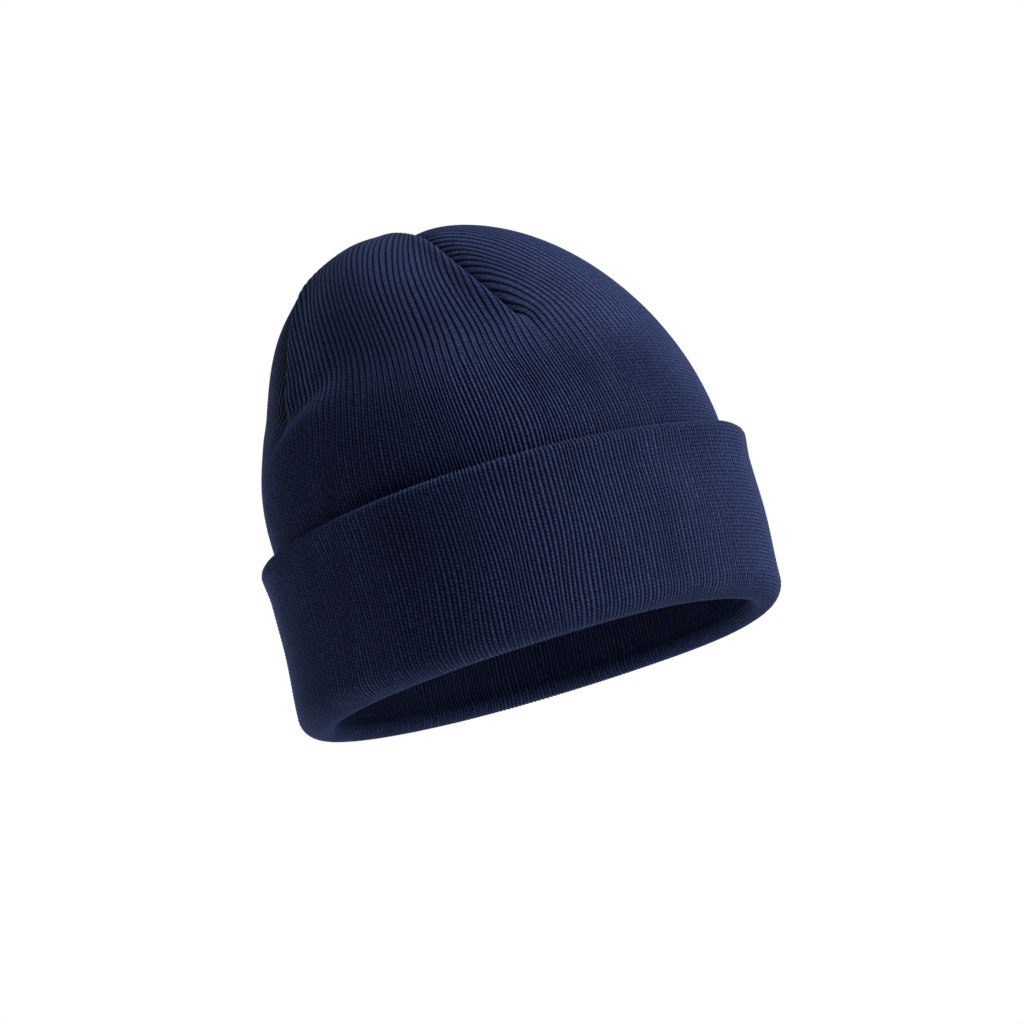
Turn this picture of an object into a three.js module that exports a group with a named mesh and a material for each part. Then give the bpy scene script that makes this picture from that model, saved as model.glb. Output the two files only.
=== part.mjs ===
// Double-layer rib-knit beanie with a four-dart crown and a deep turned-up cuff.
// Millimetres, +Z up the hat. The origin is the centre of the opening, on the surface
// that the brim rests on. The front dart faces -Y.
//
// The hat is one long knitted tube, folded into itself: the outer layer is the crown
// shell, the inner layer is the lining, and both turn up together at the brim to make
// the cuff. Each stretch of the tube is a solid of its own here, so the cuff can be
// turned down: the brim moves down and the cuff's free edge moves down twice as far.

import * as THREE from 'three';

// ---- Driving dimensions -------------------------------------------------------------

const headRadius = 88.6;          // inside of the lining, on a stretched head size of about 56 cm
const knitThickness = 2.0;        // one layer of rib knit
const layerGap = 0.4;             // air between neighbouring layers
const cuffThickness = 6.6;        // both layers of the turned-up cuff, with the air in its fold
const cuffHeight = 70;            // brim to the cuff's free edge
const crownHeight = 112.5;        // cuff's free edge to the top of the hat
const shellFullness = 2.6;        // superellipse exponent that rounds the shell's side
const liningFullness = 2.3;       // the lining's, which leaves room for the seams
const topFullness = 1.7;          // superellipse exponent that rounds the top of both
const crownLean = 11;             // how far the soft top slumps to one side
const crownLeanAngle = 159;       // direction of that slump, degrees from +X towards +Y
const loftAtTop = 5.4;            // room between shell and lining at the top, for the seams

const brimOuterRound = 9.5;       // the brim fold's outer corner
const brimInnerRound = 3.8;       // the brim fold's inner corner
const brimInset = 2.0;            // how far the brim fold bulges inwards past the lining
const brimRollHeight = 13;        // height of the brim fold
const brimShoulder = 9;           // height inside the fold where shell and lining end
const edgeFoldHeight = 12;        // height of the cuff's free edge fold
const edgeOuterRound = 5.2;       // that fold's outer corner
const edgeInnerRound = 1.2;       // that fold's inner corner

const dartCount = 4;
const dartDepth = 4.2;            // how deep a dart pulls the crown in
const dartStart = 0.52;           // share of the crown's height where a dart begins
const dartFade = 0.35;            // share of the crown's height over which it deepens
const dartReach = 30;             // degrees each side of a dart that it pulls in
const apexDimple = 13;            // radius of the dimple where the darts meet

const seamWidth = 4.4;            // overlocked seam allowance along each dart
const seamThickness = 2.2;
const seamClearance = 0.8;        // between a seam allowance and the layer it lies on
const seamFirstTurn = 0.50;       // where a seam starts along the crown's outline, 0 to 1
const seamLastTurn = 0.93;        // where it ends, just short of the top
const tackRadius = 2.6;           // thread tack that holds the two layers together at the top
const jointGap = 0.3;             // gap between neighbouring solids of the same knit

const navy = 0x262f57;
const innerNavy = 0x1d2444;
const seamNavy = 0x2b3462;
const knitRoughness = 0.92;

// ---- Derived sizes ------------------------------------------------------------------

const liningOuterRadius = headRadius + knitThickness;
const shellInnerRadius = liningOuterRadius + layerGap;
const shellOuterRadius = shellInnerRadius + knitThickness;
const cuffInnerRadius = shellOuterRadius + layerGap;
const cuffOuterRadius = cuffInnerRadius + cuffThickness;
const brimInnerRadius = headRadius - brimInset;

const roundSegments = 48;
const crownSteps = 13;
const cornerSteps = 4;
const seamSteps = 9;

// ---- The crown's surfaces -----------------------------------------------------------

const liningHeight = crownHeight - knitThickness - loftAtTop;

const crownSurface = (radius, height, fullness) => ({ radius, height, fullness });

const shellOuter = crownSurface(shellOuterRadius, crownHeight, shellFullness);
const shellInner = crownSurface(shellInnerRadius, crownHeight - knitThickness, shellFullness);
const liningOuter = crownSurface(liningOuterRadius, liningHeight, liningFullness);
const liningInner = crownSurface(headRadius, liningHeight - knitThickness, liningFullness);

const smooth = (from, to, x) => THREE.MathUtils.smoothstep(x, from, to);

// A point on a crown surface's outline: turn 0 is at the cuff's free edge, 1 at the top.
function outlinePoint(surface, turn) {
  const angle = (turn * Math.PI) / 2;
  const radius = surface.radius * Math.pow(Math.cos(angle), 2 / surface.fullness);
  const height = surface.height * Math.pow(Math.sin(angle), 2 / topFullness);
  return new THREE.Vector2(turn >= 1 ? 0 : radius, cuffHeight + height);
}

// The outward normal of that outline.
function outlineNormal(surface, turn) {
  const step = 0.01;
  const before = outlinePoint(surface, turn - step);
  const after = outlinePoint(surface, turn + step);
  const along = after.sub(before).normalize();
  return new THREE.Vector2(along.y, -along.x);
}

// How far a dart pulls a point of the crown in: 0 away from the darts, 1 in a crease.
function dartPull(point) {
  const spacing = (2 * Math.PI) / dartCount;
  const angle = Math.atan2(point.y, point.x);
  const away = Math.abs(angle - spacing * Math.round(angle / spacing));
  const share = Math.max(0, 1 - away / THREE.MathUtils.degToRad(dartReach));
  const fromAxis = smooth(0, apexDimple, Math.hypot(point.x, point.y));
  const crease = THREE.MathUtils.lerp(1, share * share, fromAxis);
  const rise = (point.z - cuffHeight) / crownHeight;
  return crease * smooth(dartStart, dartStart + dartFade, rise);
}

// The darts draw the crown inwards and down, and its soft top slumps to one side. Every
// piece of the crown follows this one shape, so the layers and seams stay nested.
function shapeCrownPoint(point) {
  const rise = (point.z - cuffHeight) / crownHeight;
  const pull = dartDepth * dartPull(point);
  const inwards = pull / (Math.hypot(point.x, point.y) + apexDimple * 2);
  const lean = crownLean * Math.pow(rise, 1.5);
  const leanAngle = THREE.MathUtils.degToRad(crownLeanAngle);
  point.set(
    point.x * (1 - inwards) + lean * Math.cos(leanAngle),
    point.y * (1 - inwards) + lean * Math.sin(leanAngle),
    point.z - pull * rise,
  );
}

function shapeCrown(geometry) {
  const position = geometry.getAttribute('position');
  const point = new THREE.Vector3();
  for (let i = 0; i < position.count; i += 1) {
    point.fromBufferAttribute(position, i);
    if (point.z > cuffHeight) {
      shapeCrownPoint(point);
      position.setXYZ(i, point.x, point.y, point.z);
    }
  }
  return geometry;
}

// ---- Building blocks ----------------------------------------------------------------

function corner(centreRadius, centreHeight, round, fromDegrees, toDegrees) {
  const points = [];
  for (let i = 0; i <= cornerSteps; i += 1) {
    const angle = THREE.MathUtils.degToRad(THREE.MathUtils.lerp(fromDegrees, toDegrees, i / cornerSteps));
    const radius = centreRadius + round * Math.cos(angle);
    const height = centreHeight + round * Math.sin(angle);
    points.push(new THREE.Vector2(radius, height));
  }
  return points;
}

// Turns an outline of radius and height about +Z.
function revolve(outline) {
  return new THREE.LatheGeometry(outline, roundSegments).rotateX(Math.PI / 2);
}

function closedRing(outline) {
  return revolve([...outline, outline[0].clone()]);
}

function fabricPiece(name, geometry, color) {
  const material = new THREE.MeshStandardMaterial({ color, roughness: knitRoughness, metalness: 0 });
  const mesh = new THREE.Mesh(geometry, material);
  mesh.name = name;
  return mesh;
}

// ---- Crown: shell and lining --------------------------------------------------------

// One knitted layer, from the brim fold up its wall and over the top.
function crownLayer(name, outer, inner, color) {
  const bottom = brimShoulder + jointGap;
  const inside = [];
  const outside = [];
  for (let i = 0; i <= crownSteps; i += 1) {
    inside.push(outlinePoint(inner, i / crownSteps));
    outside.push(outlinePoint(outer, i / crownSteps));
  }
  const outline = [
    ...inside.reverse(),
    new THREE.Vector2(inner.radius, bottom),
    new THREE.Vector2(outer.radius, bottom),
    ...outside,
  ];
  return fabricPiece(name, shapeCrown(revolve(outline)), color);
}

// ---- Cuff: brim fold, band and free edge --------------------------------------------

function brimRoll() {
  const outline = [
    new THREE.Vector2(cuffOuterRadius, brimRollHeight),
    new THREE.Vector2(cuffInnerRadius, brimRollHeight),
    new THREE.Vector2(cuffInnerRadius, brimShoulder),
    new THREE.Vector2(brimInnerRadius, brimShoulder),
    ...corner(brimInnerRadius + brimInnerRound, brimInnerRound, brimInnerRound, 180, 270),
    ...corner(cuffOuterRadius - brimOuterRound, brimOuterRound, brimOuterRound, 270, 360),
  ];
  return fabricPiece('brim_roll', closedRing(outline), navy);
}

function cuffBand() {
  const bottom = brimRollHeight + jointGap;
  const top = cuffHeight - edgeFoldHeight - jointGap;
  const outline = [
    new THREE.Vector2(cuffOuterRadius, bottom),
    new THREE.Vector2(cuffOuterRadius, top),
    new THREE.Vector2(cuffInnerRadius, top),
    new THREE.Vector2(cuffInnerRadius, bottom),
  ];
  return fabricPiece('cuff_band', closedRing(outline), navy);
}

function cuffEdgeFold() {
  const bottom = cuffHeight - edgeFoldHeight;
  const outline = [
    new THREE.Vector2(cuffOuterRadius, bottom),
    ...corner(cuffOuterRadius - edgeOuterRound, cuffHeight - edgeOuterRound, edgeOuterRound, 0, 90),
    ...corner(cuffInnerRadius + edgeInnerRound, cuffHeight - edgeInnerRound, edgeInnerRound, 90, 180),
    new THREE.Vector2(cuffInnerRadius, bottom),
  ];
  return fabricPiece('cuff_edge_fold', closedRing(outline), navy);
}

// ---- Between the layers: dart seams and the tack ------------------------------------

// The overlocked seam allowance of one dart. It lies flat against its layer, beside the
// crease: side 1 is on the layer's outside and side -1 on its inside.
function dartSeam(name, surface, side, dartAngle) {
  const offset = side * (seamThickness / 2 + seamClearance);
  const sideways = side * (seamWidth / 2 + seamClearance);
  const points = [];
  for (let i = 0; i <= seamSteps; i += 1) {
    const turn = THREE.MathUtils.lerp(seamFirstTurn, seamLastTurn, i / seamSteps);
    const here = outlinePoint(surface, turn).addScaledVector(outlineNormal(surface, turn), offset);
    points.push(new THREE.Vector3(here.x, sideways, here.y));
  }
  const section = new THREE.Shape();
  section.absellipse(0, 0, seamWidth / 2, seamThickness / 2, 0, Math.PI * 2);
  const geometry = new THREE.ExtrudeGeometry(section, {
    steps: seamSteps,
    curveSegments: 4,
    bevelEnabled: false,
    extrudePath: new THREE.CatmullRomCurve3(points),
  });
  return fabricPiece(name, shapeCrown(geometry.rotateZ(dartAngle)), seamNavy);
}

// The thread tack that holds the two layers together at the top of the crown.
function crownTack() {
  const bottom = cuffHeight + liningOuter.height + jointGap;
  const top = cuffHeight + shellInner.height - jointGap;
  const geometry = new THREE.CylinderGeometry(tackRadius, tackRadius, top - bottom, 12);
  geometry.rotateX(Math.PI / 2).translate(0, 0, (top + bottom) / 2);
  return fabricPiece('crown_tack', shapeCrown(geometry), seamNavy);
}

// ---- The hat ------------------------------------------------------------------------

const beanie = new THREE.Group();
beanie.add(crownLayer('crown_shell', shellOuter, shellInner, navy));
beanie.add(crownLayer('inner_lining', liningOuter, liningInner, innerNavy));
beanie.add(brimRoll(), cuffBand(), cuffEdgeFold());
['right', 'back', 'left', 'front'].forEach((place, index) => {
  const dartAngle = (index * 2 * Math.PI) / dartCount;
  beanie.add(dartSeam(`shell_dart_seam_${place}`, shellInner, -1, dartAngle));
  beanie.add(dartSeam(`lining_dart_seam_${place}`, liningOuter, 1, dartAngle));
});
beanie.add(crownTack());

export default beanie;
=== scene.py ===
"""The looks of the knit beanie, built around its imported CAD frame. Metres, +Z up the hat."""

import math

import bpy
import numpy as np
from mathutils import Matrix, Vector


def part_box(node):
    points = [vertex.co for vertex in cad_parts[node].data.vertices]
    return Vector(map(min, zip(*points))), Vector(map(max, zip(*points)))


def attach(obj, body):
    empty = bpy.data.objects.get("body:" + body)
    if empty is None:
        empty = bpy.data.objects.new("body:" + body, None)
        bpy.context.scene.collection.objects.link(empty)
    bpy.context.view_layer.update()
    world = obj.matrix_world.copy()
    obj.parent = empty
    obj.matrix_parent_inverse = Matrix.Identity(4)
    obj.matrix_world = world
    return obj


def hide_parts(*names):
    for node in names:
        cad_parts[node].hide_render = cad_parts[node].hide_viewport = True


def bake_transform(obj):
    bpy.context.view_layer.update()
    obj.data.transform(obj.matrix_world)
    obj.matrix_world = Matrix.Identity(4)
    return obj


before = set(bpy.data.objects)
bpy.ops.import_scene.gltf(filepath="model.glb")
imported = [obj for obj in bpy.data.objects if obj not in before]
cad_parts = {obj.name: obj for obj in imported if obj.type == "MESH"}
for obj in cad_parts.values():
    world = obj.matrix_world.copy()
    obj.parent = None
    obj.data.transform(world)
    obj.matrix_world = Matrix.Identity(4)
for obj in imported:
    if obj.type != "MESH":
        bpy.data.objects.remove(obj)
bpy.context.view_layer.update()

# ---- The hat's sizes ---------------------------------------------------------------------

MM = 0.001
CUFF_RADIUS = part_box("brim_roll")[1].x
CUFF_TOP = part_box("cuff_edge_fold")[1].z
WALL_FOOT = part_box("crown_shell")[0].z  # shell and lining end here, inside the brim fold
KNIT = 2.0 * MM  # one layer of cloth
SHELL_RADIUS = 93.0 * MM
LINING_RADIUS = 88.6 * MM  # inside of the lining's wall
BRIM_INNER = 86.6 * MM  # inside of the brim fold
CROWN_HEIGHT = 112.5 * MM  # of the shell, above the cuff's free edge
LINING_HEIGHT = 103.1 * MM

# ---- The crown's shape, close to the CAD crown's -----------------------------------------

SHELL_FULLNESS = 2.7  # superellipse exponents
LINING_FULLNESS = 2.3
TOP_FULLNESS = 1.64
TOP_HOLE = 0.4 * MM  # radius left open at the very top
LEAN = 12.0 * MM  # how far the soft top slumps
LEAN_POWER = 2.7
LEAN_ANGLE = math.radians(159)
EXTRA_HEIGHT = 1.9 * MM  # the lobes stand this much above the CAD crown
LEFT_PUFF = 2.4 * MM  # the left lobes swell higher up
LEFT_SWELL = 6.0 * MM  # and the left side low down
CROWN_WAVES = 0.6 * MM  # slow unevenness
CREASED_FROM = (-20 * MM, 15 * MM)  # its creases set in here, from the cuff's top
UPPER_CROWN = (0.45, 0.8)  # shares of the crown's height where its upper shape sets in
CUFF_SWAY = 2.5 * MM  # sideways drift by the time the hat is SWAY_HEIGHT above its brim
SWAY_HEIGHT = 40 * MM
CROWN_SWAY = 0.4 * MM  # and a little more round CROWN_MIDDLE
CROWN_MIDDLE = 115 * MM
PANELS = ("front_right", "back_right", "back_left", "front_left")
PANEL_ANGLE = math.pi / 2

# ---- The darts between the panels --------------------------------------------------------

FRONT, LEFT = 270, 180  # where the two darts that show lie round the hat, in degrees
DART_START = 0.50  # share of the crown's height
LEFT_DART_DROP = 0.08  # the left dart starts this much lower
FOOT_PLACE = 0.02  # a dart's gathers centre this much below its start
DART_FADE = 0.35  # share of the height over which the broad pull sets in
DART_DEPTH = 2.5 * MM  # broad pull towards a dart
DART_REACH = math.radians(30)
DART_SHIFTS = ((FRONT, -4.0, -8.5), (LEFT, 6.5, 4.5))  # degrees, at the foot and higher up
SHIFT_FROM = (0.05, 0.45)  # shares of the crown's height over which that shift sets in
SHIFT_SPAN = 0.75  # radians round the crown that it moves
CREASE_DEPTH = 8.0 * MM  # sharp fold on the dart itself
CREASE_REACH = 1.5 * MM
ROLL_HEIGHT = 2.2 * MM  # the fuller lobe's edge beside the fold
ROLL_REACH = 6 * MM
FOLD_FROM = (-0.03, 0.07)  # shares of the height, from a dart's foot, where it sets in
DIP_REACH = {0: (2.6 * MM, 15 * MM), 2: (4.0 * MM, 22 * MM)}  # sharp and broad, by panel
DIP_SHARE = {0: 0.12, 2: 0.42}  # the broad part's share of the dip beside a fold
FOLD_SHADE = {0: 2.4 * MM, 2: 17.0 * MM, 1: 1.2 * MM, 3: 1.2 * MM}  # reach of a fold's painted shade
# shares of the height, from a dart's foot, over which the painted fold shade sets in
SHADE_FROM = (-0.02, 0.05)
OVERHANG = 5.0 * MM  # how far the fold tucks under the fuller lobe's edge
OVERHANG_REACH = 3 * MM
SHALLOW_TOP = 0.7  # share of a fold's depth that is lost near the top
SHALLOW_FROM = (0.86, 0.97)
DIMPLE = 13 * MM  # radius of the dimple where the darts meet
PINCH = 0.12  # how tightly ribs gather at a dart's foot
PINCH_SPAN = 0.22  # radians to each side
PINCH_HEIGHT = 0.08  # share of the crown's height
PUCKER_DEPTH = 1.6 * MM
PUCKER_HEIGHT = 0.05
RIDGE_HEIGHT = 1.7 * MM  # slanting folds that run from the left dart's foot
GROOVE_DEPTH = 1.9 * MM
SLANT_WIDTH = 5  # their half width in millimetres
SLANT_SPAN = 13  # and their half length in degrees
HOLLOW_DEPTH = 2.4 * MM  # soft hollow below them

# ---- The cuff ----------------------------------------------------------------------------

CUFF_ROUNDS = (3.8 * MM, 8.6 * MM, 3.4 * MM, 1.4 * MM)  # brim in and out, free edge, its lip
CUFF_GAP = 0.4 * MM  # from the shell to the cuff
CUFF_NECK = 6 * MM  # the cuff's inside climbs this much above its inner round
CUFF_WAVES = 0.5 * MM
FLARE = 1.3 * MM  # the cuff opens a little towards its edge
FLARE_HEIGHT = 14 * MM
WORN_HEIGHT = 12 * MM  # the knit's relief fades to half below this, on the brim fold
BRIM_WAVE = 1.2 * MM  # unevenness of the brim, which ends BRIM_WAVE_HEIGHT up the cuff
BRIM_WAVE_HEIGHT = 40 * MM
RIB_SLANT = 0.02  # radians

# ---- The knit ----------------------------------------------------------------------------

RIBS = 46  # ribs across one quarter of the hat
COURSE = 1.5 * MM  # height of one row of stitches
STITCH_SLANT = 1.3  # courses that a stitch's leg would climb across a whole rib
COLUMNS = 8  # mesh columns in one rib
ROWS = 3  # mesh rows in one course
BACK_ROWS = 40  # mesh rows of a panel's hidden side
SHELL_RELIEF = (0.65 * MM, 0.17 * MM)  # depth between ribs, height of a stitch
LINING_RELIEF = (0.50 * MM, 0.10 * MM)
CUFF_RELIEF = (0.62 * MM, 0.20 * MM)
SLACK_FROM = (95 * MM, 128 * MM)  # heights between which the stretched knit goes slack
STRAY_SLOW = 0.30  # how far ribs stray sideways, as shares of a rib
STRAY_QUICK = 0.10
STRAY_END = 0.7  # share of a panel's half width beyond which straying dies away

# ---- The seams between the layers --------------------------------------------------------

SEAM_OFFSET = 1.3 * MM  # a seam's middle, behind its layer of cloth
SEAM_START = 6 * MM  # from the dart's foot
SEAM_END = 20 * MM  # from the top
SEAM_WIDE = 1.6 * MM  # half of the seam's width
SEAM_THICK = 0.9 * MM  # half of its thickness
SEAM_STITCH = 2.4 * MM
SEAM_WOUND = 0.16  # how far its thread bites in, as a share of its size
SEAM_SIDES = 10
SEAM_ROWS = 260


# ---- Small mathematics -------------------------------------------------------------------


def smooth(low, high, x):
    t = np.clip((x - low) / (high - low), 0, 1)
    return t * t * (3 - 2 * t)


def bump(x, centre, width):
    return np.exp(-(((x - centre) / width) ** 2))


def turned(angle, degrees):
    """An angle measured from another one, between -pi and pi."""
    return (angle - math.radians(degrees) + math.pi) % (2 * math.pi) - math.pi


def soft_waves(angle, height, size):
    """Slow unevenness of a soft hat: a few long waves round it and up it."""
    waves = ((3, 31, 0.4, 0.5), (5, -47, 2.1, 0.3), (8, 63, 4.0, 0.2))
    total = 0
    for turns, rate, shift, share in waves:
        total = total + share * np.sin(turns * angle + rate * height + shift)
    return size * total


def arc(radius, height, size, start, end, steps=24):
    """Points of a round stretch of an outline, from one angle to another in degrees."""
    angles = np.radians(np.linspace(start, end, steps))
    return list(zip(radius + size * np.cos(angles), height + size * np.sin(angles)))


class Outline:
    """A path of (radius, height), read by its arc length, with its normal on the right hand."""

    def __init__(self, points):
        points = np.array(points, float)
        far = np.hypot(*np.diff(points, axis=0).T) > 1e-7
        self.points = points[np.concatenate([[True], far])]
        steps = np.hypot(*np.diff(self.points, axis=0).T)
        self.along = np.concatenate([[0], np.cumsum(steps)])
        self.length = float(self.along[-1])
        slope = np.gradient(self.points, self.along, axis=0)
        slope /= np.linalg.norm(slope, axis=1)[:, None]
        self.normal = np.stack([slope[:, 1], -slope[:, 0]], axis=1)

    def at(self, s):
        """Radius, height and the two parts of the normal at arc length s."""
        columns = (*self.points.T, *self.normal.T)
        return [np.interp(s, self.along, column) for column in columns]

    def reach(self, height):
        """The arc length at a height, on a path that only climbs."""
        return float(np.interp(height, self.points[:, 1], self.along))


# ---- The knit's relief -------------------------------------------------------------------


def strayed(u, ribs, s, half_width):
    """Ribs' places across a panel, straying a little sideways except along its edges."""
    climb = s / MM
    slow = STRAY_SLOW * np.sin(0.31 * ribs + 0.043 * climb + 2.0 * np.sin(0.07 * ribs))
    quick = STRAY_QUICK * np.sin(1.1 * ribs - 0.083 * climb + 1.3)
    return u + (slow + quick) * (1 - smooth(STRAY_END, 1, np.abs(u / half_width)))


def rib_relief(u, s, spread, depth, stitch):
    """Relief of 1x1 rib, at most zero but for the stitches. Where the cloth is stretched
    sideways (spread 1) each rib opens into a smooth knit column and a beaded purl column.
    Where it is slack (spread 0) the knit columns close up and hide the purl ones."""
    narrow, plump, cleft = 1.5, 0.55, 0.16
    knit_beads, purl_beads, slack_beads = 0.55, 0.9, 0.45
    phase = u - np.floor(u)
    open_rib = np.abs(np.sin(2 * math.pi * phase)) ** narrow
    shut_rib = np.abs(np.sin(math.pi * phase)) ** plump - cleft * bump(phase, 0.5, 0.09)
    column = spread * open_rib + (1 - spread) * shut_rib
    is_knit = phase < 0.5
    beaded = np.where(is_knit, knit_beads, purl_beads) * spread + slack_beads * (1 - spread)
    side = np.where(is_knit, 1.0, -1.0)
    slant = STITCH_SLANT * side * (phase - 0.5 + 0.25 * side)
    uneven = 0.8 + 0.35 * np.sin(0.83 * u + 0.9 * np.sin(0.21 * u) + 40 * s)
    offset = 0.13 * np.sin(1.7 * np.floor(u))
    beads = np.cos(2 * math.pi * (s / COURSE + slant + offset))
    return -depth * (1 - column) + stitch * beaded * uneven * column * beads


# ---- Surfaces ----------------------------------------------------------------------------


def crown_outline(wall_radius, crown_height, fullness):
    """Up the wall from its foot, then over the crown to the top."""
    turn = np.linspace(0, math.pi / 2, 900)[:-1]
    radius = wall_radius * np.cos(turn) ** (2 / fullness)
    height = CUFF_TOP + crown_height * np.sin(turn) ** (2 / TOP_FULLNESS)
    wall = np.linspace(WALL_FOOT, CUFF_TOP, 60)[:-1]
    path = [(wall_radius, z) for z in wall] + list(zip(radius, height))
    return Outline([p for p in path if p[0] >= TOP_HOLE])


def dart_fold(panel, across, distance):
    """Height of the cloth beside a dart and its shift towards the fuller lobe. Two opposite
    lobes are full and roll over the fold, and the other two dip under them."""
    if panel % 2 == 1:
        crease = np.exp(-distance / CREASE_REACH)
        roll = bump(distance, ROLL_REACH, ROLL_REACH) - bump(0, ROLL_REACH, ROLL_REACH) * crease
        lift = ROLL_HEIGHT * roll - CREASE_DEPTH * crease
        side = -np.sign(across)
    else:
        sharp, broad = DIP_REACH[panel]
        share = DIP_SHARE[panel]
        steep = (1 - share) * np.exp(-distance / sharp)
        lift = -CREASE_DEPTH * (steep + share * np.exp(-distance / broad))
        side = np.sign(across)
    return lift, side * OVERHANG * np.exp(-distance / OVERHANG_REACH)


def drifted(angle, rise):
    """Moves the darts round the crown to where they really lie."""
    for place, low, high in DART_SHIFTS:
        shift = np.radians(low + (high - low) * smooth(*UPPER_CROWN, rise))
        near = bump(turned(angle, place), 0, SHIFT_SPAN)
        angle = angle + shift * near * smooth(*SHIFT_FROM, rise)
    return angle


def dart_foot(angle):
    """Share of the crown's height where the nearest dart starts."""
    return DART_START - LEFT_DART_DROP * bump(turned(angle, LEFT), 0, 0.5)


def pinched(angle, rise):
    """Gathers the ribs together at the foot of each dart."""
    for place in (0, 90, 180, 270):
        off = turned(angle, place)
        foot = dart_foot(math.radians(place)) - FOOT_PLACE
        near = bump(off, 0, PINCH_SPAN) * bump(rise, foot, PINCH_HEIGHT)
        angle = angle - PINCH * off * near
    return angle


def shape_crown(radius, height, angle, panel, across):
    """Draws the crown in at its darts and slumps its top. across is -1 and 1 on the darts."""
    rise = np.clip((height - CUFF_TOP) / CROWN_HEIGHT, 0, None)
    foot = dart_foot(angle)
    fade = smooth(foot, foot + DART_FADE, rise)
    from_dart = (1 - np.abs(across)) * PANEL_ANGLE / 2
    away = np.clip(1 - from_dart / DART_REACH, 0, 1)
    off_axis = smooth(0, DIMPLE, radius)
    broad = 1 - off_axis + off_axis * away**2
    lift, shift = dart_fold(panel, across, from_dart * radius)
    shallow = 1 - SHALLOW_TOP * smooth(*SHALLOW_FROM, rise)
    sets_in = smooth(*(foot + step for step in FOLD_FROM), rise)
    folded = sets_in * shallow * off_axis
    pull = DART_DEPTH * broad * fade - lift * folded
    inwards = pull / (radius + 2 * DIMPLE)
    angle = drifted(pinched(angle, rise), rise) + shift * folded / np.maximum(radius, DIMPLE)
    lean = LEAN * rise**LEAN_POWER - sway(height)
    x = radius * np.cos(angle) * (1 - inwards) + lean * math.cos(LEAN_ANGLE)
    y = radius * np.sin(angle) * (1 - inwards) + lean * math.sin(LEAN_ANGLE)
    return np.stack([x, y, height - pull * rise + EXTRA_HEIGHT * rise**2], axis=-1)


def sway(height):
    """How far the soft hat drifts to the side as it rises from its brim."""
    low = CUFF_SWAY * smooth(0, SWAY_HEIGHT, height)
    return low + CROWN_SWAY * bump(height, CROWN_MIDDLE, 35 * MM)


def slanting(climb, beside, start, tilt, middle):
    """A soft line that starts start mm up at the left dart and climbs tilt mm each degree
    away from it. It is strongest middle degrees away."""
    return bump(climb - start - tilt * beside, 0, SLANT_WIDTH) * bump(beside, middle, SLANT_SPAN)


def crown_folds(angle, height):
    """Soft hollows and puckers of the crown's cloth, as heights along its normal."""
    front = turned(angle, FRONT)
    left = turned(angle, LEFT)
    rise = (height - CUFF_TOP) / CROWN_HEIGHT
    climb = height / MM
    beside = np.degrees(left)
    foot = dart_foot(angle) - FOOT_PLACE
    gathers = bump(front, 0, 0.06) + bump(left, 0, 0.07)
    pucker = -PUCKER_DEPTH * gathers * bump(rise, foot, PUCKER_HEIGHT)
    ridge = RIDGE_HEIGHT * slanting(climb, beside, start=105, tilt=0.30, middle=14)
    groove = -GROOVE_DEPTH * slanting(climb, beside, start=114, tilt=0.42, middle=12)
    hollow = -HOLLOW_DEPTH * bump(climb, 92, 17) * bump(beside, 33, 20)
    left_side = bump(turned(angle, LEFT + 25), 0, 0.9)
    high_left = LEFT_PUFF * left_side * smooth(*UPPER_CROWN, rise)
    low_left = LEFT_SWELL * left_side * bump(rise, 0.25, 0.22)
    swell = high_left + low_left + soft_waves(angle, height, CROWN_WAVES)
    return swell + pucker + ridge + groove + hollow


class CrownLayer:
    """The shell, seen from outside, or the lining, seen from inside."""

    def __init__(self, outline, outside, relief):
        self.face = outline
        self.back = outline
        self.side = 1 if outside else -1
        self.relief = relief
        self.dart_from = outline.reach(CUFF_TOP + DART_START * (outline.points[-1][1] - CUFF_TOP))
        self.dart_radius = float(outline.at(self.dart_from)[0])

    def half_width(self, s):
        """Ribs beside the panel's middle: all of them up to the darts, then ever fewer."""
        ease = 0.03  # rounds the change off
        share = self.face.at(s)[0] / self.dart_radius
        return RIBS / 2 * (1 + share - np.sqrt((1 - share) ** 2 + ease**2)) / 2

    def spread(self, s):
        """How far the cloth is stretched sideways: fully round the head, not over the top."""
        return 1 - smooth(*SLACK_FROM, self.face.at(s)[1])

    def fold(self, panel, u, s):
        """Painted shade: 1 far down in a dart's gathered fold, where no light gets in, else 0."""
        radius, height, _, _ = self.face.at(s)
        across = u / self.half_width(s)
        from_dart = (1 - np.abs(across)) * PANEL_ANGLE / 2 * radius
        foot = dart_foot((panel - 0.5 + across / 2) * PANEL_ANGLE)
        rise = (height - CUFF_TOP) / CROWN_HEIGHT
        near = np.exp(-((from_dart / FOLD_SHADE[panel]) ** 4))
        return near * smooth(*(foot + step for step in SHADE_FROM), rise)

    def point(self, panel, u, s, back=False, behind=0):
        """Points of the knitted face, or of a plain one that lies behind the cloth's back."""
        radius, height, out, up = self.face.at(s)
        ribs = u + (panel + 0.5) * RIBS
        across = strayed(u, ribs, s, self.half_width(s)) / self.half_width(s)
        angle = (panel - 0.5 + across / 2) * PANEL_ANGLE
        if back:
            lift = -self.side * (KNIT + behind) + 0 * u
        else:
            lift = self.side * rib_relief(ribs, s, self.spread(s), *self.relief)
        above = smooth(*(CUFF_TOP + step for step in CREASED_FROM), height)
        lift = lift + above * crown_folds(angle, height)
        return shape_crown(radius + lift * out, height + lift * up, angle, panel, across)


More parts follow.
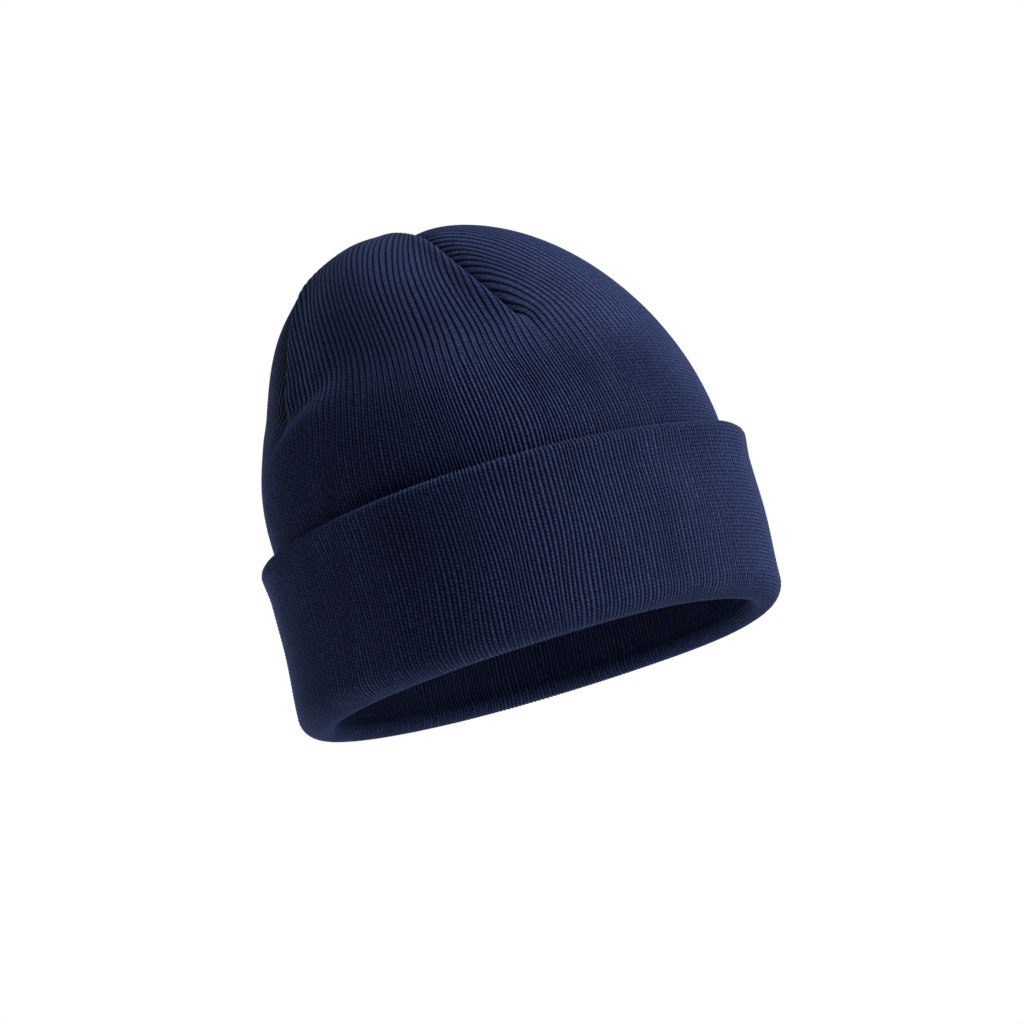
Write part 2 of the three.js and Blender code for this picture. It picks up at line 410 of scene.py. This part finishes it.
class Cuff:
    """The turned-up cuff: one thick sheet whose outline runs from inside the brim, round the
    brim fold, up the outside and over the free edge."""

    def __init__(self, relief):
        foot, outer, edge, lip = CUFF_ROUNDS
        gap_side = SHELL_RADIUS + CUFF_GAP
        rise = np.linspace(1, 0, 12)
        narrowing = (BRIM_INNER - LINING_RADIUS) * smooth(1, 0.1, rise)
        neck = list(zip(LINING_RADIUS + narrowing, foot + CUFF_NECK * rise))
        self.face = Outline(
            neck
            + arc(BRIM_INNER + foot, foot, foot, 180, 270)
            + arc(CUFF_RADIUS - outer, outer, outer, 270, 360)
            + arc(CUFF_RADIUS - edge, CUFF_TOP - edge, edge, 0, 90)
            + arc(gap_side + lip, CUFF_TOP - lip, lip, 90, 180, steps=8)
            + [(gap_side, CUFF_TOP - 2.2 * lip)]
        )
        self.back = Outline(
            [
                (LINING_RADIUS + KNIT / 2, foot + CUFF_NECK),
                (BRIM_INNER + KNIT, foot + KNIT / 2),
                (gap_side, outer),
                (gap_side + 0.1 * MM, CUFF_TOP - 2.4 * lip),
            ]
        )
        self.relief = relief

    def half_width(self, s):
        return RIBS / 2 + 0 * s

    def spread(self, s):
        return 1 + 0 * s

    def fold(self, panel, u, s):
        # the cuff gets no painted fold shade
        return 0 * s

    def point(self, panel, u, s, back=False):
        """Points of the knitted face, or of the plain back that the shell hides."""
        path = self.back if back else self.face
        radius, height, out, up = path.at(s)
        ribs = u + (panel + 0.5) * RIBS
        angle = (panel - 0.5 + strayed(u, ribs, s, RIBS / 2) / RIBS) * PANEL_ANGLE
        if not back:
            lift = rib_relief(ribs, s, self.spread(s), *self.relief)
            lift = lift * (0.5 + 0.5 * smooth(0, WORN_HEIGHT, height))
            lift = lift + soft_waves(angle, height, CUFF_WAVES) * smooth(0, 20 * MM, height)
            radius = radius + lift * out
            height = height + lift * up
        angle = angle + rib_slant(angle, height)
        height = height + brim_wave(angle) * np.clip(1 - height / BRIM_WAVE_HEIGHT, 0, 1)
        radius = radius + FLARE * smooth(CUFF_TOP - FLARE_HEIGHT, CUFF_TOP, height)
        x = radius * np.cos(angle) - sway(height) * math.cos(LEAN_ANGLE)
        y = radius * np.sin(angle) - sway(height) * math.sin(LEAN_ANGLE)
        return np.stack([x, y, height], axis=-1)


def rib_slant(angle, height):
    """Angle by which the ribs run aslant lower down the cuff's front."""
    low = np.clip((CUFF_TOP - height) / CUFF_TOP, 0, 1.1)
    return -RIB_SLANT * bump(turned(angle, FRONT + 6), 0, 0.6) * low**2


def brim_wave(angle):
    """How far the brim fold is out of its plane: up at the front, down at the right."""
    front = bump(turned(angle, FRONT + 10), 0, 0.45)
    right = bump(turned(angle, 5), 0, 0.5)
    return BRIM_WAVE * (front - right)


# ---- Closed knit panels ------------------------------------------------------------------


def strip(first, second, first_at, second_at):
    """Triangles between two rows of vertices, each with its places along the row."""
    faces = []
    i = j = 0
    while i < len(first) - 1 or j < len(second) - 1:
        use_first = j == len(second) - 1 or (
            i < len(first) - 1
            and first_at[i] + first_at[i + 1] <= second_at[j] + second_at[j + 1]
        )
        if use_first:
            faces.append((first[i], first[i + 1], second[j]))
            i += 1
        else:
            faces.append((first[i], second[j + 1], second[j]))
            j += 1
    return faces


def normals_of(surface, panel, u, s, back):
    """The surface's own normals, so that shading runs on without a seam between panels."""
    step_u, step_s = 0.03, 0.06 * MM
    limit = surface.face.length - step_s
    along = np.clip(s, step_s, limit)
    across = surface.point(panel, u + step_u, along, back) - surface.point(
        panel, u - step_u, along, back
    )
    up = surface.point(panel, u, along + step_s, back) - surface.point(
        panel, u, along - step_s, back
    )
    normal = np.cross(across, up)
    return normal / np.maximum(np.linalg.norm(normal, axis=1), 1e-12)[:, None]


class Rows:
    """Rows of vertices from dart to dart: whole columns beside the middle and one on each dart."""

    def __init__(self, surface, places, columns, start):
        self.places = places
        self.widths = surface.half_width(places)
        short = 0.35  # shares of a column that the last whole one keeps clear of the dart
        self.reach = np.maximum(0, np.floor(self.widths * columns - short)).astype(int)
        self.u = [
            np.concatenate([[-w], np.arange(-k, k + 1) / columns, [w]])
            for w, k in zip(self.widths, self.reach)
        ]
        self.count = 2 * self.reach + 3
        self.first = start + np.concatenate([[0], np.cumsum(self.count)[:-1]])
        self.end = start + int(self.count.sum())
        self.flat_u = np.concatenate(self.u)
        self.flat_s = np.repeat(places, self.count)

    def row(self, j):
        return np.arange(self.first[j], self.first[j] + self.count[j])

    def faces(self):
        quads, triangles = [], []
        for j in range(len(self.places) - 1):
            low, high = self.row(j), self.row(j + 1)
            kept = min(self.reach[j], self.reach[j + 1])
            low_from, high_from = self.reach[j] - kept + 1, self.reach[j + 1] - kept + 1
            span = 2 * kept
            a = low[low_from : low_from + span + 1]
            b = high[high_from : high_from + span + 1]
            quads.append(np.stack([a[:-1], a[1:], b[1:], b[:-1]], axis=1))
            for low_part, high_part in (
                (slice(None, low_from + 1), slice(None, high_from + 1)),
                (slice(low_from + span, None), slice(high_from + span, None)),
            ):
                u_low = self.u[j][low_part] / self.widths[j]
                u_high = self.u[j + 1][high_part] / self.widths[j + 1]
                triangles += strip(low[low_part], high[high_part], u_low, u_high)
        return np.concatenate(quads), np.array(triangles, int).reshape(-1, 3)

    def edge(self, last):
        return self.first + (self.count - 1 if last else 0)


def closing_faces(front, back):
    """The four narrow walls between a panel's face and its back."""
    front_at = front.places / front.places[-1]
    back_at = back.places / back.places[-1]
    foot = strip(back.row(0), front.row(0), back.u[0], front.u[0])
    last_back, last_front = back.row(len(back.u) - 1), front.row(len(front.u) - 1)
    top = strip(last_back, last_front, back.u[-1], front.u[-1])
    left = strip(back.edge(False), front.edge(False), back_at, front_at)
    right = strip(back.edge(True), front.edge(True), back_at, front_at)
    flipped = [f[::-1] for f in top + left]
    return np.array(foot + right + flipped, int)


def knit_panel(name, surface, panel, front_rows, inward=False):
    """One quarter of a knitted layer as a closed mesh, with its knit and bake maps."""
    front = Rows(surface, front_rows, COLUMNS, 0)
    share = surface.back.length / surface.face.length if surface.back is not surface.face else 1
    back_rows = np.linspace(front_rows[0], front_rows[-1], BACK_ROWS) * share
    back = Rows(surface, back_rows, 1, front.end)
    u = np.concatenate([front.flat_u, back.flat_u])
    s = np.concatenate([front.flat_s, back.flat_s])
    points = np.concatenate(
        [
            surface.point(panel, front.flat_u, front.flat_s),
            surface.point(panel, back.flat_u, back.flat_s, back=True),
        ]
    )
    facing = -1 if inward else 1
    normals = facing * np.concatenate(
        [
            normals_of(surface, panel, front.flat_u, front.flat_s, False),
            -normals_of(surface, panel, back.flat_u, back.flat_s, True),
        ]
    )
    front_quads, front_triangles = front.faces()
    back_quads, back_triangles = back.faces()
    quads = np.concatenate([front_quads, back_quads[:, ::-1]])
    triangles = np.concatenate(
        [front_triangles, back_triangles[:, ::-1], closing_faces(front, back)]
    )
    if inward:
        quads, triangles = quads[:, ::-1], triangles[:, ::-1]
    knit_map = np.stack([u + (panel + 0.5) * RIBS, s / COURSE], axis=1)
    on_back = np.arange(len(u)) >= front.end
    bake_map = bake_places(u / RIBS + 0.5, s / front_rows[-1], on_back)
    flat = len(front_triangles) + len(back_triangles)
    piece = make_mesh(name, points, quads, triangles, flat, knit_map, bake_map)
    spread = surface.spread(s)
    # painted shade in the darts' folds, kept as the fold attribute for the material
    fold = surface.fold(panel, u, s)
    for label, values in (("stretch", spread), ("fold", fold)):
        attribute = piece.data.attributes.new(label, "FLOAT", "POINT")
        attribute.data.foreach_set("value", values.astype(np.float32))
    piece.data.normals_split_custom_set_from_vertices(normals)
    return piece


def bake_places(wide, high, on_back):
    """The bake map: a panel's face fills most of it and its back a strip at the right."""
    margin, face_width, back_from, back_width = 0.01, 0.88, 0.9, 0.09
    across = np.where(on_back, back_from + back_width * wide, margin + face_width * wide)
    return np.stack([across, margin + (1 - 2 * margin) * high], axis=1)


def make_mesh(name, points, quads, triangles, flat_from, knit_map, bake_map):
    """A mesh from its quads and triangles. Triangles from flat_from on are its side walls."""
    mesh = bpy.data.meshes.new(name)
    corners = np.concatenate([quads.ravel(), triangles.ravel()]).astype(np.int32)
    sizes = np.concatenate([np.full(len(quads), 4), np.full(len(triangles), 3)])
    starts = np.concatenate([[0], np.cumsum(sizes)[:-1]]).astype(np.int32)
    mesh.vertices.add(len(points))
    mesh.vertices.foreach_set("co", points.astype(np.float32).ravel())
    mesh.loops.add(len(corners))
    mesh.loops.foreach_set("vertex_index", corners)
    mesh.polygons.add(len(sizes))
    mesh.polygons.foreach_set("loop_start", starts)
    is_smooth = np.ones(len(sizes), bool)
    is_smooth[len(quads) + flat_from :] = False
    mesh.update(calc_edges=True)
    mesh.polygons.foreach_set("use_smooth", is_smooth)
    for label, places in (("knit", knit_map), ("OFBake", bake_map)):
        layer = mesh.uv_layers.new(name=label)
        layer.data.foreach_set("uv", places[corners].astype(np.float32).ravel())
    mesh.validate()
    obj = bpy.data.objects.new(name, mesh)
    bpy.context.scene.collection.objects.link(obj)
    return obj


# ---- Materials ---------------------------------------------------------------------------

HOLLOW_PAINTED_SHADE = 0.93  # how strongly painted shade darkens the knit between its ribs
FOLD_PAINTED_SHADE = 0.88  # how strongly painted shade darkens the knit far down in a dart's fold


class Nodes:
    """Short calls for one material's node tree."""

    def __init__(self, name):
        self.material = bpy.data.materials.new(name)
        self.material.use_nodes = True
        self.tree = self.material.node_tree
        self.shader = self.tree.nodes["Principled BSDF"]

    def add(self, kind, inputs=(), **settings):
        node = self.tree.nodes.new(kind)
        for key, value in settings.items():
            setattr(node, key, value)
        for key, value in dict(inputs).items():
            if isinstance(value, bpy.types.NodeSocket):
                self.tree.links.new(value, node.inputs[key])
            else:
                node.inputs[key].default_value = value
        return node

    def math(self, operation, a, b=0.0, c=0.0):
        node = self.add("ShaderNodeMath", {0: a, 1: b, 2: c}, operation=operation)
        return node.outputs[0]

    def noise(self, vector, scale, detail=2.0, roughness=0.5):
        inputs = {"Vector": vector, "Scale": scale, "Detail": detail, "Roughness": roughness}
        return self.add("ShaderNodeTexNoise", inputs).outputs["Fac"]

    def range(self, value, low, high, to_low, to_high):
        """A number from one range moved to another, and held inside it."""
        inputs = {"Value": value, 1: low, 2: high, 3: to_low, 4: to_high}
        return self.add("ShaderNodeMapRange", inputs).outputs[0]

    def blend(self, factor, a, b):
        """A number between two others."""
        return self.math("ADD", a, self.math("MULTIPLY", factor, self.math("SUBTRACT", b, a)))

    def mix(self, factor, a, b):
        """A colour between two others."""
        node = self.add("ShaderNodeMix", data_type="RGBA", blend_type="MIX")
        for place, value in ((0, factor), (6, a), (7, b)):
            if isinstance(value, bpy.types.NodeSocket):
                self.tree.links.new(value, node.inputs[place])
            else:
                node.inputs[place].default_value = value
        return node.outputs[2]


def knit_material(name, painted_shade_colour, yarn, bright, sheen):
    """Fine rib knit: yarn tones by stitch, painted shade in sunken columns, gaps and folds, plied
    fibres and a soft nap.
    """
    n = Nodes(name)
    uv = n.add("ShaderNodeUVMap", uv_map="knit").outputs["UV"]
    split = n.add("ShaderNodeSeparateXYZ", {"Vector": uv})
    across, along = split.outputs[0], split.outputs[1]
    place = n.add("ShaderNodeTexCoord").outputs["Object"]
    stretch = n.add("ShaderNodeAttribute", attribute_name="stretch").outputs["Fac"]
    phase = n.math("FRACT", across)
    wave = n.math("SINE", n.math("MULTIPLY", across, 2 * math.pi))
    open_rib = n.math("ABSOLUTE", wave)
    shut_rib = n.math("ABSOLUTE", n.math("SINE", n.math("MULTIPLY", across, math.pi)))
    column = n.blend(stretch, shut_rib, open_rib)
    purl = n.range(wave, 0.3, -0.3, 0.0, 1.0)
    # painted shade between the ribs, where the columns sink
    hollow = n.range(column, 0.15, 0.90, 1.0, 0.0)

    stitch_scale = n.add("ShaderNodeVectorMath", {0: uv, 1: (2.0, 1.0, 1.0)}, operation="MULTIPLY")
    stitch_tone = n.noise(stitch_scale.outputs[0], scale=1.0, detail=1.0)
    fibre_scale = n.add("ShaderNodeVectorMath", {0: uv, 1: (9.0, 3.0, 1.0)}, operation="MULTIPLY")
    fibres = n.noise(fibre_scale.outputs[0], scale=1.0, detail=3.0, roughness=0.7)
    patches = n.noise(place, scale=28.0)

    side = n.math("SIGN", n.math("SUBTRACT", phase, 0.5))
    slant = n.math("MULTIPLY", n.math("MULTIPLY", side, phase), STITCH_SLANT)
    turn = n.math("MULTIPLY", n.math("ADD", along, slant), 2 * math.pi)
    bead = n.range(n.math("COSINE", turn), -1.0, 1.0, 0.0, 1.0)
    # painted shade in the gaps between stitch beads, stronger on the purl columns
    gap_shade_strength = n.range(purl, 0.0, 1.0, 0.30, 0.62)
    painted_gap_shade = n.math("MULTIPLY", n.math("SUBTRACT", 1.0, bead), gap_shade_strength)

    tone = n.math("ADD", n.math("MULTIPLY", stitch_tone, 0.6), n.math("MULTIPLY", fibres, 0.4))
    tone = n.range(tone, 0.34, 0.66, 0.0, 1.0)
    colour = n.mix(tone, yarn, bright)
    colour = n.mix(n.range(patches, 0.35, 0.65, 0.0, 0.4), colour, yarn)
    colour = n.mix(painted_gap_shade, colour, painted_shade_colour)
    colour = n.mix(n.math("MULTIPLY", hollow, HOLLOW_PAINTED_SHADE), colour, painted_shade_colour)
    # painted shade in the darts' folds, where no light gets in
    fold = n.add("ShaderNodeAttribute", attribute_name="fold").outputs["Fac"]
    colour = n.mix(n.math("MULTIPLY", fold, FOLD_PAINTED_SHADE), colour, painted_shade_colour)
    n.tree.links.new(colour, n.shader.inputs["Base Color"])

    plies = n.math("MULTIPLY", n.math("SINE", n.math("MULTIPLY", turn, 2.0)), 0.2)
    strand = n.math("MULTIPLY", n.math("ADD", plies, fibres), column)
    bump_inputs = {"Height": strand, "Strength": 0.6, "Distance": 0.3 * MM}
    relief = n.add("ShaderNodeBump", bump_inputs)
    n.tree.links.new(relief.outputs[0], n.shader.inputs["Normal"])
    settings = {
        "Roughness": 0.82,
        "Specular IOR Level": 0.03,
        "Sheen Weight": sheen,
        "Sheen Roughness": 0.45,
        "Sheen Tint": (0.42, 0.56, 1.0, 1.0),
    }
    for key, value in settings.items():
        n.shader.inputs[key].default_value = value
    return n.material


def thread_material(name, colour, bright):
    """Overlocked sewing thread: close loops across the seam."""
    n = Nodes(name)
    place = n.add("ShaderNodeTexCoord").outputs["Object"]
    loops = n.add("ShaderNodeTexWave", {"Vector": place, "Scale": 160.0, "Distortion": 2.0})
    loops.bands_direction = "Z"
    tone = n.noise(place, scale=900.0, detail=3.0)
    mixed = n.mix(tone, colour, bright)
    n.tree.links.new(mixed, n.shader.inputs["Base Color"])
    bump_inputs = {"Height": loops.outputs["Fac"], "Strength": 0.6, "Distance": 0.4 * MM}
    relief = n.add("ShaderNodeBump", bump_inputs)
    n.tree.links.new(relief.outputs[0], n.shader.inputs["Normal"])
    n.shader.inputs["Roughness"].default_value = 0.7
    return n.material


# ---- Camera, floor and light -------------------------------------------------------------

CAMERA_TURN = (-26.0, -10.6, 16.75)  # azimuth, rise and roll in degrees
CAMERA_DISTANCE = 1.4
CAMERA_HEIGHT = 90 * MM  # of the point that it circles
CAMERA_LENS = 122.2
AIM_RIGHT = 12.2 * MM  # where it looks, from that point
AIM_DOWN = 21.4 * MM
LAMP_HEIGHT = 100 * MM  # of the point that the lamps face
FLOOR_RADIUS = 6.0
FLOOR_DROP = 0.27  # below the hat, which hangs as if on a form
FLOOR_SIDES = 96
FLOOR_GLOW = 0.85  # share of the floor's tone that doesn't depend on the lamps
WORLD_LIGHT = 0.03


def camera_axes():
    """Right, up and back of the camera: below the brim's plane, to the left, and rolled."""
    azimuth, rise, roll = (math.radians(x) for x in CAMERA_TURN)
    back = Vector(
        (
            math.sin(azimuth) * math.cos(rise),
            -math.cos(azimuth) * math.cos(rise),
            math.sin(rise),
        )
    )
    level = Vector((0, 0, 1)).cross(back).normalized()
    upright = back.cross(level)
    right = level * math.cos(roll) - upright * math.sin(roll)
    up = level * math.sin(roll) + upright * math.cos(roll)
    return right, up, back


def add_camera():
    """Looks past the hat's middle, so that the hat lies in the frame as in the photograph."""
    right, up, back = camera_axes()
    middle = Vector((0, 0, CAMERA_HEIGHT))
    place = middle + back * CAMERA_DISTANCE
    aim = middle + right * AIM_RIGHT - up * AIM_DOWN
    look = (place - aim).normalized()
    side = up.cross(look).normalized()
    top = look.cross(side)
    data = bpy.data.cameras.new("camera")
    data.lens = CAMERA_LENS
    data.clip_start, data.clip_end = 0.05, 30
    camera = bpy.data.objects.new("camera", data)
    turn = Matrix((side, top, look)).transposed().to_4x4()
    camera.matrix_world = Matrix.Translation(place) @ turn
    bpy.context.scene.collection.objects.link(camera)
    bpy.context.scene.camera = camera


def add_floor():
    """A wide round floor, as pale in the distance as it is near the lamps."""
    turn = np.linspace(0, 2 * math.pi, FLOOR_SIDES, endpoint=False)
    rim = [(FLOOR_RADIUS * math.cos(t), FLOOR_RADIUS * math.sin(t), -FLOOR_DROP) for t in turn]
    mesh = bpy.data.meshes.new("floor")
    mesh.from_pydata(rim, [], [tuple(range(FLOOR_SIDES))])
    floor = bpy.data.objects.new("floor", mesh)
    bpy.context.scene.collection.objects.link(floor)
    n = Nodes("pale_floor")
    n.shader.inputs["Base Color"].default_value = (0.80, 0.80, 0.80, 1)
    n.shader.inputs["Roughness"].default_value = 0.95
    glow = n.add("ShaderNodeEmission", {"Color": (1, 1, 1, 1), "Strength": 0.9})
    seen = n.add("ShaderNodeLightPath").outputs["Is Camera Ray"]
    mixed = n.add("ShaderNodeMixShader", {0: n.math("MULTIPLY", seen, FLOOR_GLOW)})
    n.tree.links.new(n.shader.outputs[0], mixed.inputs[1])
    n.tree.links.new(glow.outputs[0], mixed.inputs[2])
    output = n.tree.nodes["Material Output"]
    n.tree.links.new(mixed.outputs[0], output.inputs["Surface"])
    floor.data.materials.append(n.material)


def add_lamp(name, offset, size, power):
    """A soft round lamp, placed along the camera's right, up and back, facing the hat."""
    right, up, back = camera_axes()
    data = bpy.data.lights.new(name, "AREA")
    data.shape = "DISK"
    data.size = size
    data.energy = power
    lamp = bpy.data.objects.new(name, data)
    middle = Vector((0, 0, LAMP_HEIGHT))
    way = right * offset[0] + up * offset[1] + back * offset[2]
    lamp.location = middle + way
    lamp.rotation_euler = (-way).to_track_quat("-Z", "Y").to_euler()
    bpy.context.scene.collection.objects.link(lamp)


def add_world():
    """White behind the hat, and almost no light from all round it."""
    world = bpy.data.worlds.new("studio")
    world.use_nodes = True
    tree = world.node_tree
    tree.nodes.clear()
    output = tree.nodes.new("ShaderNodeOutputWorld")
    seen = tree.nodes.new("ShaderNodeBackground")
    lit = tree.nodes.new("ShaderNodeBackground")
    seen.inputs[0].default_value = (1, 1, 1, 1)
    seen.inputs[1].default_value = 1.0
    lit.inputs[0].default_value = (0.95, 0.97, 1.0, 1)
    lit.inputs[1].default_value = WORLD_LIGHT
    rays = tree.nodes.new("ShaderNodeLightPath")
    mix = tree.nodes.new("ShaderNodeMixShader")
    tree.links.new(rays.outputs["Is Camera Ray"], mix.inputs[0])
    tree.links.new(lit.outputs[0], mix.inputs[1])
    tree.links.new(seen.outputs[0], mix.inputs[2])
    tree.links.new(mix.outputs[0], output.inputs[0])
    bpy.context.scene.world = world
    bpy.context.scene.view_settings.view_transform = "Standard"
    bpy.context.scene.view_settings.look = "None"


def add_lights():
    add_lamp("key", (1.15, 1.0, 0.38), size=0.7, power=32)
    add_lamp("top", (0.25, 1.4, 0.12), size=0.9, power=15)
    add_lamp("fill", (0.2, 0.6, 1.4), size=1.0, power=0.5)
    add_lamp("left_edge", (-1.2, -0.4, -0.6), size=0.6, power=20)
    add_lamp("right_edge", (1.0, -0.2, -0.9), size=0.6, power=4)
    add_lamp("under", (-0.3, -1.4, 0.0), size=0.8, power=3.5)


# ---- The hat -----------------------------------------------------------------------------


def crown_rows(outline, low_step, high_step, change):
    """Arc lengths of a crown's mesh rows, with other steps above a height than below it."""
    middle = outline.reach(change)
    wall = np.arange(0, middle - low_step / 2, low_step)
    count = round((outline.length - middle) / high_step)
    return np.concatenate([wall, np.linspace(middle, outline.length, count + 1)])


def shell_layer():
    outline = crown_outline(SHELL_RADIUS, CROWN_HEIGHT, SHELL_FULLNESS)
    return CrownLayer(outline, True, SHELL_RELIEF)


def lining_layer():
    outline = crown_outline(LINING_RADIUS, LINING_HEIGHT, LINING_FULLNESS)
    return CrownLayer(outline, False, LINING_RELIEF)


def add_shell(material):
    layer = shell_layer()
    rows = crown_rows(layer.face, 2 * MM, COURSE / ROWS, change=CUFF_TOP - 4 * MM)
    for number, panel in enumerate(PANELS):
        piece = knit_panel(f"shell_{panel}", layer, number, rows)
        piece.data.materials.append(material)
        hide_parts("crown_shell")
        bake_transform(piece)


def add_lining(material):
    layer = lining_layer()
    rows = crown_rows(layer.face, COURSE / 2, COURSE, change=30 * MM)
    for number, panel in enumerate(PANELS):
        piece = knit_panel(f"lining_{panel}", layer, number, rows, inward=True)
        piece.data.materials.append(material)
        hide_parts("inner_lining")
        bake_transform(piece)


def add_cuff(material):
    layer = Cuff(CUFF_RELIEF)
    count = round(layer.face.length / (COURSE / ROWS))
    rows = np.linspace(0, layer.face.length, count + 1)
    for number, panel in enumerate(PANELS):
        piece = knit_panel(f"cuff_{panel}", layer, number, rows)
        piece.data.materials.append(material)
        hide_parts("brim_roll", "cuff_band", "cuff_edge_fold")
        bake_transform(piece)


def add_seam(name, layer, dart, material):
    """The overlocked seam of one dart, between the two layers: a thread-wound cord of cloth
    that follows the fold. Its ends are closed."""
    low = layer.dart_from + SEAM_START
    high = layer.face.length - SEAM_END
    places = np.linspace(low, high, SEAM_ROWS)
    u = layer.half_width(places)
    path = layer.point(dart, u, places, back=True, behind=SEAM_OFFSET)
    along = np.gradient(path, axis=0)
    along /= np.linalg.norm(along, axis=1)[:, None]
    out = np.cross(along, path - (0, 0, CUFF_TOP))
    out /= np.linalg.norm(out, axis=1)[:, None]
    other = np.cross(along, out)
    turn = np.linspace(0, 2 * math.pi, SEAM_SIDES, endpoint=False)
    stitch = turn[None, :] + 2 * math.pi * places[:, None] / SEAM_STITCH
    wound = 1 + SEAM_WOUND * np.sin(stitch)
    wide = wound * SEAM_WIDE * np.cos(turn)
    thick = wound * SEAM_THICK * np.sin(turn)
    rings = path[:, None] + wide[..., None] * out[:, None] + thick[..., None] * other[:, None]
    points = [tuple(p) for p in rings.reshape(-1, 3)]
    faces = [tuple(range(SEAM_SIDES))[::-1]]
    for ring in range(len(places) - 1):
        for k in range(SEAM_SIDES):
            a, b = ring * SEAM_SIDES + k, ring * SEAM_SIDES + (k + 1) % SEAM_SIDES
            faces.append((a, b, b + SEAM_SIDES, a + SEAM_SIDES))
    faces.append(tuple(range(len(points) - SEAM_SIDES, len(points))))
    mesh = bpy.data.meshes.new(name)
    mesh.from_pydata(points, [], faces)
    mesh.polygons.foreach_set("use_smooth", [True] * len(faces))
    mesh.update()
    piece = bpy.data.objects.new(name, mesh)
    bpy.context.scene.collection.objects.link(piece)
    mesh.materials.append(material)
    return piece


def add_seams(material):
    """A seam on each dart of both layers. A dart has the number of the panel before it."""
    for label, layer in (("shell", shell_layer()), ("lining", lining_layer())):
        for dart, place in enumerate(("right", "back", "left", "front")):
            piece = add_seam(f"seam_{label}_{place}", layer, dart, material)
            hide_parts(f"{label}_dart_seam_{place}")
            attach(piece, "crown")
    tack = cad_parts["crown_tack"]
    tack.data.materials.clear()
    tack.data.materials.append(material)


# ---- The scene ---------------------------------------------------------------------------

add_camera()
add_floor()
add_world()
add_lights()
outside = knit_material(
    "navy_rib_knit",
    # colour of the painted shade in hollows, gaps and folds
    painted_shade_colour=(0.0010, 0.0016, 0.0044, 1),
    yarn=(0.0150, 0.0232, 0.065, 1),
    bright=(0.038, 0.057, 0.153, 1),
    sheen=0.08,
)
# the same knit darkened for the lining: painted shade for the hat's inside
inside = knit_material(
    "navy_rib_knit_inside_shaded",
    # colour of the painted shade in hollows, gaps and folds
    painted_shade_colour=(0.0010, 0.0015, 0.0040, 1),
    yarn=(0.0120, 0.0180, 0.048, 1),
    bright=(0.026, 0.038, 0.100, 1),
    sheen=0.04,
)
add_shell(outside)
add_lining(inside)
add_cuff(outside)
add_seams(thread_material("navy_seam_thread", (0.012, 0.018, 0.05, 1), (0.03, 0.04, 0.10, 1)))
